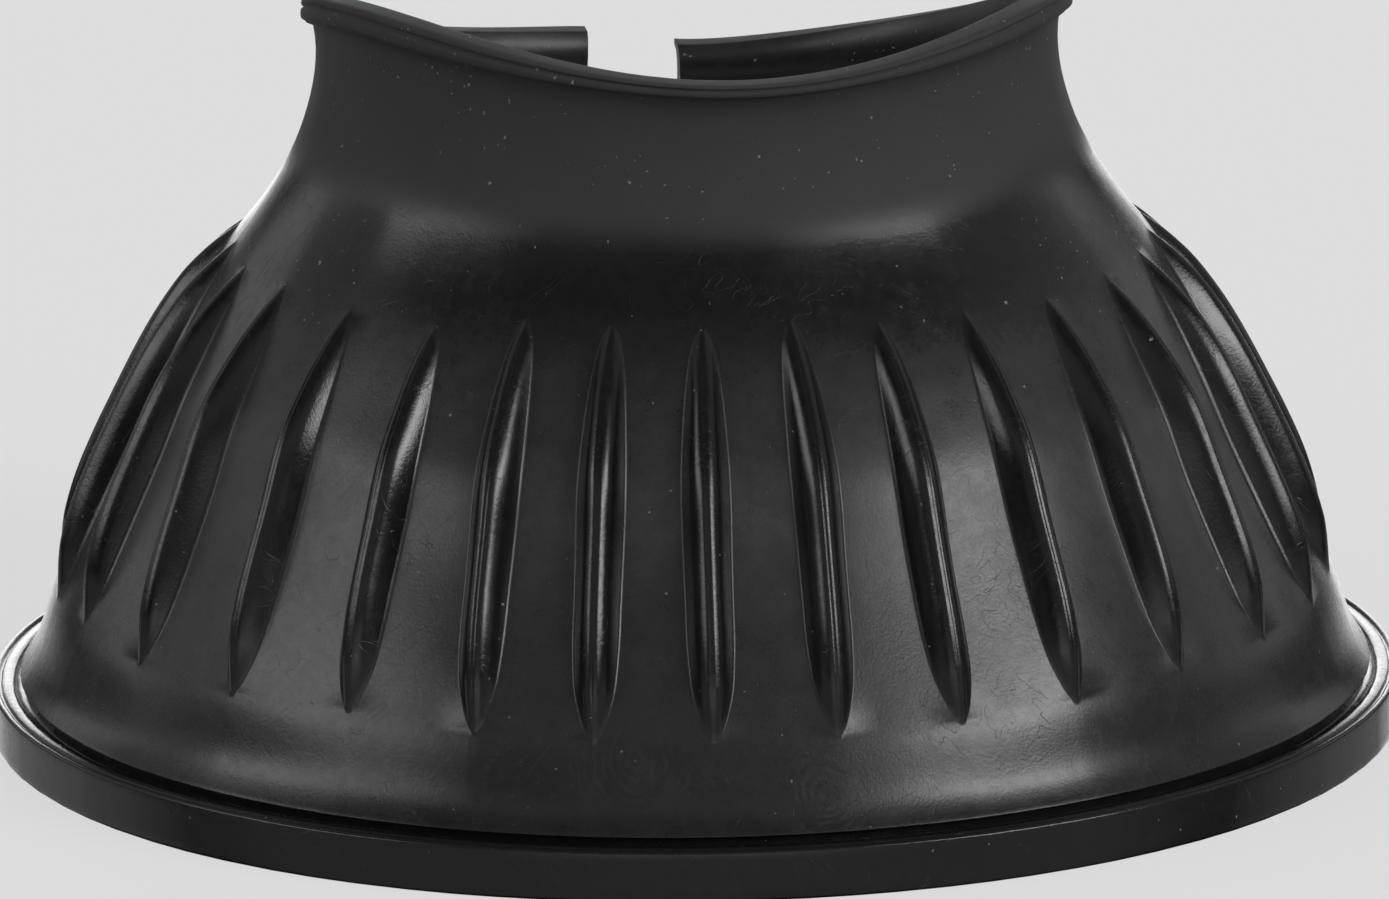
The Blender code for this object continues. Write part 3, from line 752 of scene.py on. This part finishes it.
strap = {
    "width": 0.0250, "thickness": 0.0014, "corner": 0.0050, "rootLength": 0.0270, "hingeInset": 0.0060,
    "seat": 0.0003, "tailSeat": 0.0031, "tipMargin": 0.0050, "edgeRound": 0.00055, "weaveDepth": 0.00016,
    "bendStart": 0.0012, "bendEnd": 0.0042, "bendLevel": 0.001, "stitchInset": 0.0035, "spacing": 0.00032,
}
tapes = {
    "hookWidth": 0.0190, "hookTop": 0.00185, "hookBase": 0.00245, "hookBack": 0.00305, "hookInset": 0.0040,
    "hookPitch": 0.00088, "hookMargin": 0.0024, "hookWander": 0.00005, "hookStem": 0.000085, "hookSeed": 21,
    "loopInset": 0.0030, "loopBack": 0.0003, "loopBase": 0.00075, "loopTop": 0.0015, "loopPitch": 0.00088,
    "loopMargin": 0.0009, "loopWander": 0.00022, "loopThread": 0.00006, "loopReach": 0.00042, "loopSeed": 22,
    "cells": (48, 24), "edgeRound": 0.00025,
}
stitches = {"length": 0.0026, "gap": 0.0006, "radius": 0.00023, "margin": 0.0015, "sink": 0.00022}
closures = {
    "upper": {"centre": 0.0655, "loop": 0.0340, "hook": 0.0250},
    "lower": {"centre": 0.0310, "loop": 0.0460, "hook": 0.0350},
}


def closureRuns(sizes):
    # where things begin and end along the strap, measured along the wall from the middle of the back
    level = sizes["centre"] + lift(math.pi, sizes["centre"])
    left, right = -slitEdge(level, -1), slitEdge(level, 1)
    runs = {"slit": left, "hinge": right + strap["hingeInset"]}
    runs["root"] = runs["hinge"] + strap["rootLength"]
    runs["loop"] = left - tapes["loopInset"]
    runs["loopEnd"] = runs["loop"] - sizes["loop"]
    runs["hook"] = runs["loop"] - tapes["hookInset"]
    runs["hookEnd"] = runs["hook"] - sizes["hook"]
    runs["tip"] = runs["hookEnd"] - strap["tipMargin"]
    return runs


def onClosure(centre, run, rise, out):
    # a point on the back: run along the strap, rise across it, out from the wall
    angle = math.pi - run / wallRadius(centre)
    height = centre + 0 * (run + rise)
    for _ in range(3):
        middle = (centre + height) / 2
        height = centre + rise / np.hypot(wallSlope(middle), 1 + liftSlope(angle, middle))
    return onWall(angle + 0 * height, height, out)


def underStrap(runs, run):
    # how far the strap's underside stands off the wall: it climbs over the slit's far edge
    share = smoothStep((runs["hinge"] - run) / (runs["hinge"] - runs["slit"]), 0, 1)
    return strap["seat"] + (strap["tailSeat"] - strap["seat"]) * share


def webbingPattern(along, across):
    # warp threads as round ridges, each passing over and under by turns
    pitch = webbingFinish["pitch"]
    ridge = np.abs(np.sin(np.pi * across / pitch))
    over = 0.5 + 0.5 * np.cos(np.pi * (along / pitch + np.floor(across / pitch)))
    return ridge ** 0.7 * (0.35 + 0.65 * over)


def makeStrap(name, sizes, runs):
    # a grid: rows along the strap, columns round its section; the woven faces rise and fall, the selvedges are
    # round, and the free end is cut with round corners
    spacing, half, edge = strap["spacing"], strap["width"] / 2, strap["edgeRound"]
    length = runs["root"] - runs["tip"]
    rows = int(length / spacing)
    along = np.linspace(0, length, rows)
    rim = np.array([0.0, 0.00008, 0.0002])
    along = np.concatenate([rim, along[2:-2], length - rim[::-1]])[:, None]
    toEnd = length - along
    reach = np.minimum(toEnd, strap["corner"])
    wide = half - strap["corner"] + np.sqrt(strap["corner"] ** 2 - (strap["corner"] - reach) ** 2)
    count = int(strap["width"] / spacing)
    across = np.linspace(-1, 1, count)
    across = np.sign(across) * (1 - (1 - np.abs(across)) ** 1.15)
    place = wide * across
    fromEdge = wide - np.abs(place)
    endways = np.minimum(along, toEnd)
    plump = roundedEdge(np.minimum(fromEdge, endways) / edge, 0.02)
    woven = webbingPattern(along, place + half) * strap["weaveDepth"] * smoothStep(fromEdge, 0.0004, 0.0014)
    woven = woven * smoothStep(endways, 0.0002, 0.001)
    thick = strap["thickness"] / 2
    run = runs["root"] - along + 0 * place
    under = underStrap(runs, run)
    middle = under + thick
    plain = (thick - strap["weaveDepth"]) * plump
    top, bottom = middle + plain + woven, middle - plain - woven[:, ::-1]
    sides = [onClosure(sizes["centre"], run, place, level) for level in (top, bottom)]
    columns = place.shape[1]
    points = np.concatenate([sides[0], sides[1][:, ::-1]], axis=1)
    uv = np.stack([along + 0 * place, place + half], axis=-1)
    uv = np.concatenate([uv, uv[:, ::-1]], axis=1)
    piece = makePiece(name, points, stripFaces(len(along), columns).tolist(), [webbing], uv=uv)
    print(name + ":", len(along), "rows,", 2 * columns, "columns")
    return piece


def tube(paths, radius, sides, taper=None):
    # many short tubes at once: paths is an array of tubes, points and places; the section is a regular polygon
    # across each path, and both ends are drawn to a point. It returns the points and the faces
    count, steps = paths.shape[:2]
    ahead = np.gradient(paths, axis=1)
    ahead /= np.linalg.norm(ahead, axis=2, keepdims=True) + 1e-12
    guide = np.cross(ahead[:, :1], ahead[:, -1:])
    plain = np.linalg.norm(guide, axis=2, keepdims=True) < 1e-3
    spare = np.cross(ahead[:, :1], np.array([0.31, 0.23, 0.92]))
    guide = np.where(plain, spare, guide) + 0 * ahead
    across = np.cross(guide, ahead)
    across /= np.linalg.norm(across, axis=2, keepdims=True) + 1e-12
    other = np.cross(ahead, across)
    turn = np.arange(sides) * 2 * math.pi / sides
    size = radius * (np.ones(steps) if taper is None else np.asarray(taper))[None, :, None, None]
    around = np.cos(turn)[:, None] * across[:, :, None, :] + np.sin(turn)[:, None] * other[:, :, None, :]
    rings = paths[:, :, None, :] + around * size
    tips = np.stack([paths[:, 0] - ahead[:, 0] * radius * 0.5, paths[:, -1] + ahead[:, -1] * radius * 0.5], axis=1)
    points = np.concatenate([rings.reshape(count, -1, 3), tips], axis=1)
    body = gridFaces(steps, sides, closeColumns=True)
    k, last = np.arange(sides), (steps - 1) * sides
    ends = np.stack([(k + 1) % sides, k, np.full(sides, steps * sides)], axis=1)
    far = np.stack([last + k, last + (k + 1) % sides, np.full(sides, steps * sides + 1)], axis=1)
    shift = np.arange(count)[:, None, None] * points.shape[1]
    quads = (body[None] + shift).reshape(-1, 4).tolist()
    points = points.reshape(-1, 3)
    triangles = (np.concatenate([ends, far])[None] + shift).reshape(-1, 3).tolist()
    return points, quads + triangles


def slab(centre, runFrom, runTo, half, low, high):
    # a thin tape: a closed grid of two faces, its edges slightly round; low and high are how far they stand out
    run = np.linspace(runFrom, runTo, tapes["cells"][0] + 1)[:, None]
    place = np.linspace(-half, half, tapes["cells"][1] + 1)[None, :]
    edge = np.minimum(half - np.abs(place), np.minimum(runFrom - run, run - runTo)) / tapes["edgeRound"]
    middle, thick = (high + low) / 2, (high - low) / 2 * roundedEdge(edge, 0.04)
    run, place = run + 0 * place, place + 0 * run
    top = onClosure(centre, run, place, middle + thick)
    bottom = onClosure(centre, run, place, middle - thick)
    points = np.concatenate([top, bottom[:, ::-1]], axis=1)
    uv = np.stack([runFrom - run, place + half], axis=-1)
    return points, stripFaces(*run.shape), np.concatenate([uv, uv[:, ::-1]], axis=1)


def spots(kind, runs, half, chance):
    # places for hooks or loops in rows, each a little off its row
    pitch, margin, wander = (tapes[kind + part] for part in ("Pitch", "Margin", "Wander"))
    lines = np.arange(runs[kind + "End"] + margin, runs[kind] - margin, pitch)
    run, place = np.meshgrid(lines, np.arange(-half + margin, half - margin, pitch), indexing="ij")
    run = run.ravel() + chance.uniform(-wander, wander, run.size)
    return run, place.ravel() + chance.uniform(-wander, wander, place.size)


def joinPile(name, base, pile, finishes):
    # the tape's cloth and its hooks or loops as one mesh with two finishes
    points, faces, uv = base
    points = points.reshape(-1, 3)
    hairs, hairFaces = pile
    together = faces.tolist() + [[v + len(points) for v in face] for face in hairFaces]
    spread = np.concatenate([uv.reshape(-1, 2), np.zeros((len(hairs), 2))])
    piece = makePiece(name, np.concatenate([points, hairs]), together, finishes, uv=spread)
    slot = np.zeros(len(together), np.int32)
    slot[len(faces):] = 1
    piece.data.polygons.foreach_set("material_index", slot)
    print(name + ":", len(together), "faces")
    return piece


def makeHookTape(name, sizes, runs):
    # stems that rise from the tape towards the wall and bend over into a hook
    chance = np.random.default_rng(tapes["hookSeed"])
    half = tapes["hookWidth"] / 2
    run, place = spots("hook", runs, half, chance)
    heading = np.where(np.arange(len(run)) % 2 == 0, 1.0, -1.0) * (1 + chance.uniform(-0.2, 0.2, len(run)))
    along = np.array([0.0, 0.0, 0.00006, 0.00022, 0.00036, 0.00038])[None, :] * heading[:, None]
    drop = tapes["hookBase"] - tapes["hookTop"]
    level = tapes["hookBase"] + 0.0001 - np.array([0.0, 0.55, 0.9, 1.0, 0.85, 0.6])[None, :] * (drop + 0.0001)
    paths = onClosure(sizes["centre"], run[:, None] + along, place[:, None] + 0 * along, level + 0 * along)
    pile = tube(paths, tapes["hookStem"], 4, taper=[1.3, 1.0, 1.0, 0.95, 0.85, 0.6])
    base = slab(sizes["centre"], runs["hook"], runs["hookEnd"], half, tapes["hookBase"], tapes["hookBack"])
    return joinPile(name, base, pile, [tapeBase, hookNylon])


def makeLoopTape(name, sizes, runs):
    # a pile of small arches, each turned its own way, on a woven tape
    chance = np.random.default_rng(tapes["loopSeed"])
    half = strap["width"] / 2
    run, place = spots("loop", runs, half, chance)
    turn = chance.uniform(0, 2 * math.pi, len(run))
    size = chance.uniform(0.8, 1.1, len(run))
    sweep = np.array([-0.7, -0.95, -0.6, 0.0, 0.6, 0.95, 0.7])[None, :] * tapes["loopReach"] * size[:, None]
    climb = np.array([0.0, 0.45, 0.85, 1.0, 0.85, 0.45, 0.0])[None, :] * size[:, None] / 1.1
    level = tapes["loopBase"] - 0.0001 + climb * (tapes["loopTop"] - 0.00006 - tapes["loopBase"] + 0.0001)
    paths = onClosure(sizes["centre"], run[:, None] + sweep * np.cos(turn)[:, None],
                      place[:, None] + sweep * np.sin(turn)[:, None], level)
    pile = tube(paths, tapes["loopThread"], 4)
    base = slab(sizes["centre"], runs["loop"], runs["loopEnd"], half, tapes["loopBack"], tapes["loopBase"])
    return joinPile(name, base, pile, [tapeBase, loopNylon])


def makeStitches(name, sizes, corners, surface):
    # lockstitches round a ring of corners: each stitch is a short arched thread that dives in at both ends
    paths = []
    arch = np.sin(np.linspace(0, math.pi, 9)) ** 0.55
    for (run, rise), (nextRun, nextRise) in zip(corners, corners[1:] + corners[:1]):
        length = math.hypot(nextRun - run, nextRise - rise)
        count = max(1, round(length / (stitches["length"] + stitches["gap"])))
        margin = 0.5 * stitches["gap"] * count / length
        for i in range(count):
            share = (i + np.linspace(margin, 1 - margin, 9)) / count
            along, across = run + (nextRun - run) * share, rise + (nextRise - rise) * share
            level = surface(along) - stitches["sink"] + arch * (stitches["radius"] * 0.7 + stitches["sink"])
            paths.append(onClosure(sizes["centre"], along, across, level))
    points, faces = tube(np.array(paths), stitches["radius"], 6, taper=[0.8, 0.95, 1, 1, 1, 1, 1, 0.95, 0.8])
    piece = makePiece(name, points, faces, [sewingThread])
    print(name + ":", len(paths), "stitches")
    return piece


def rectangle(runFrom, runTo, half):
    margin = stitches["margin"]
    high, low, side = runFrom - margin, runTo + margin, half - margin
    return [(high, -side), (high, side), (low, side), (low, -side)]


def finishPiece(piece, body, slotName, *nodes):
    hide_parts(*nodes)
    if body:
        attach(piece, body)


for side, sizes in closures.items():
    runs = closureRuns(sizes)
    body = side + "_strap"
    half = strap["width"] / 2
    band = makeStrap(side + "Strap", sizes, runs)
    finishPiece(band, None, "webbing", side + "_strap_root", side + "_strap_tail")
    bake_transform(band)
    finishPiece(makeHookTape(side + "HookTape", sizes, runs), body, "hook_tape", side + "_hook_patch")
    finishPiece(makeLoopTape(side + "LoopTape", sizes, runs), "shell", "loop_tape", side + "_loop_patch")

    def onWebbing(run):
        return underStrap(runs, run) + strap["thickness"] - 0.5 * strap["weaveDepth"]

    def onPile(run):
        return tapes["loopTop"] + 0 * run

    seams = {
        "Root": ("shell", runs["root"], runs["hinge"] + strap["stitchInset"], half, onWebbing),
        "Hook": (body, runs["hook"], runs["hookEnd"], tapes["hookWidth"] / 2, onWebbing),
        "Loop": ("shell", runs["loop"], runs["loopEnd"], half, onPile),
    }
    for part, (holder, runFrom, runTo, reach, surface) in seams.items():
        thread = makeStitches(side + part + "Stitches", sizes, rectangle(runFrom, runTo, reach), surface)
        finishPiece(thread, holder, "thread", side + "_" + part.lower() + "_stitching")


# Studio: a pale floor, softboxes in the world round it, and the camera at the photograph's place

studio = {"background": 0.753, "floorColour": 0.22, "shownGlow": 0.633, "floorRadius": 60.0}
camera = {
    "azimuth": math.degrees(viewAzimuth), "elevation": 14.3, "roll": -0.743, "distance": 3.0,
    "lens": 562.03, "sensor": 36.0, "sideways": 0.000315, "height": 0.03807,
}
# azimuth from the front towards +X, width, lowest and highest elevation, side and top softness, all in
# degrees, and radiance
softboxes = {
    "right": (50, 36, 18.5, 30.5, 9, 6.5, 9.6),
    "left": (-80, 44, 16.5, 29.5, 12, 7, 3.4),
    "front": (-2, 100, 20, 42, 20, 16, 0.34),
    "landLeft": (-132, 40, 5, 15, 18, 6, 0.6),
    "landRight": (118, 34, 5, 15, 16, 6, 0.5),
    "lowLeft": (-140, 70, -30, -6, 24, 8, 0.45),
    "lowRight": (126, 60, -30, -6, 24, 8, 0.35),
    "frontMiddle": (-7, 50, -4, 13, 16, 8, 0.8),
    "frontLow": (-7, 170, -50, 4, 30, 12, 0.34),
    "sideRight": (115, 66, 6, 60, 16, 12, 0.28),
    "sideLeft": (-130, 60, 6, 60, 16, 12, 0.28),
    "behindRight": (169, 30, -26, 20, 12, 12, 1.9),
    "behindLeft": (-179, 24, -26, 20, 10, 12, 0.8),
    "behindMiddle": (173, 26, 7, 21, 10, 6, 2.2),
    "ceiling": (0, 400, 50, 120, 30, 20, 0.12),
}


def softboxGroup():
    # a soft-edged patch of light in the world's sphere, by azimuth from -Y towards +X and by elevation
    names = ("Azimuth", "Width", "Low", "High", "Side Soft", "Top Soft", "Strength")
    group, given, send = newGroup("softbox", {name: 0.0 for name in names}, ("Light",))
    place = addNode(group, "TexCoord").outputs["Generated"]
    axes = addNode(group, "SeparateXYZ", {0: place}).outputs
    azimuth = maths(group, "DEGREES", maths(group, "ARCTAN2", axes[0], times(group, axes[1], -1.0)))
    off = maths(group, "SUBTRACT", azimuth, given["Azimuth"])
    off = maths(group, "ABSOLUTE", maths(group, "WRAP", off, 180.0, -180.0))
    elevation = maths(group, "DEGREES", maths(group, "ARCSINE", axes[2]))

    def within(value, limit, soft):  # 1 below the limit, 0 above it, an S curve as wide as soft between
        share = maths(group, "DIVIDE", maths(group, "SUBTRACT", limit, value), given[soft])
        return ramp(group, share, -0.5, 0.5)

    across = within(off, times(group, given["Width"], 0.5), "Side Soft")
    below = within(elevation, given["High"], "Top Soft")
    above = within(times(group, elevation, -1.0), times(group, given["Low"], -1.0), "Top Soft")
    light = times(group, times(group, across, below), above)
    send(Light=times(group, light, given["Strength"]))
    return group


def buildWorld():
    # the camera sees a plain grey, and everything else sees the softboxes
    world = bpy.data.worlds.new("studio")
    scene.world = world
    world.use_nodes = True
    tree = world.node_tree
    softbox = softboxGroup()
    total = None
    for name, values in softboxes.items():
        box = addNode(tree, "Group", dict(enumerate(map(float, values))), node_tree=softbox, label=name)
        total = box.outputs[0] if total is None else maths(tree, "ADD", total, box.outputs[0])
    back = tree.nodes["Background"]
    back.inputs["Color"].default_value = (1, 1, 1, 1)
    tree.links.new(total, back.inputs["Strength"])
    shown = addNode(tree, "Background", {"Color": (studio["background"],) * 3 + (1,), "Strength": 1.0})
    ray = addNode(tree, "LightPath").outputs
    mixed = mixShaders(tree, ray["Is Camera Ray"], back.outputs[0], shown.outputs[0])
    tree.links.new(mixed, tree.nodes["World Output"].inputs["Surface"])


def buildFloor():
    # pale to the camera; mirror rays pass through it, because black rubber shows the lights alone
    made = bpy.data.materials.new("pale floor")
    made.use_nodes = True
    tree = made.node_tree
    shader = tree.nodes["Principled BSDF"]
    shader.inputs["Base Color"].default_value = (studio["floorColour"],) * 3 + (1,)
    shader.inputs["Roughness"].default_value = 0.9
    shader.inputs["Specular IOR Level"].default_value = 0.0
    shader.inputs["Emission Color"].default_value = (1, 1, 1, 1)
    ray = addNode(tree, "LightPath").outputs
    tree.links.new(times(tree, ray["Is Camera Ray"], studio["shownGlow"]), shader.inputs["Emission Strength"])
    through = addNode(tree, "BsdfTransparent")
    mixed = mixShaders(tree, ray["Is Glossy Ray"], shader.outputs[0], through.outputs[0])
    tree.links.new(mixed, tree.nodes["Material Output"].inputs["Surface"])
    turn = np.linspace(0, 2 * math.pi, 97)[:-1]
    ring = np.stack([np.sin(turn), -np.cos(turn), np.zeros(96)], axis=1) * studio["floorRadius"]
    makePiece("floor", ring, [list(range(96))], [made])


def placeCamera():
    a, e = math.radians(camera["azimuth"]), math.radians(camera["elevation"])
    back = Vector((math.sin(a) * math.cos(e), -math.cos(a) * math.cos(e), math.sin(e)))
    side = camera["sideways"]
    target = Vector((side * math.cos(a), side * math.sin(a), camera["height"]))
    data = bpy.data.cameras.new("camera")
    data.lens, data.sensor_width = camera["lens"], camera["sensor"]
    data.clip_start, data.clip_end = 0.1, 200.0
    made = bpy.data.objects.new("camera", data)
    scene.collection.objects.link(made)
    made.rotation_mode = "QUATERNION"
    made.location = target + back * camera["distance"]
    roll = Quaternion((0, 0, 1), math.radians(camera["roll"]))
    made.rotation_quaternion = (-back).to_track_quat("-Z", "Y") @ roll
    scene.camera = made


buildWorld()
buildFloor()
placeCamera()
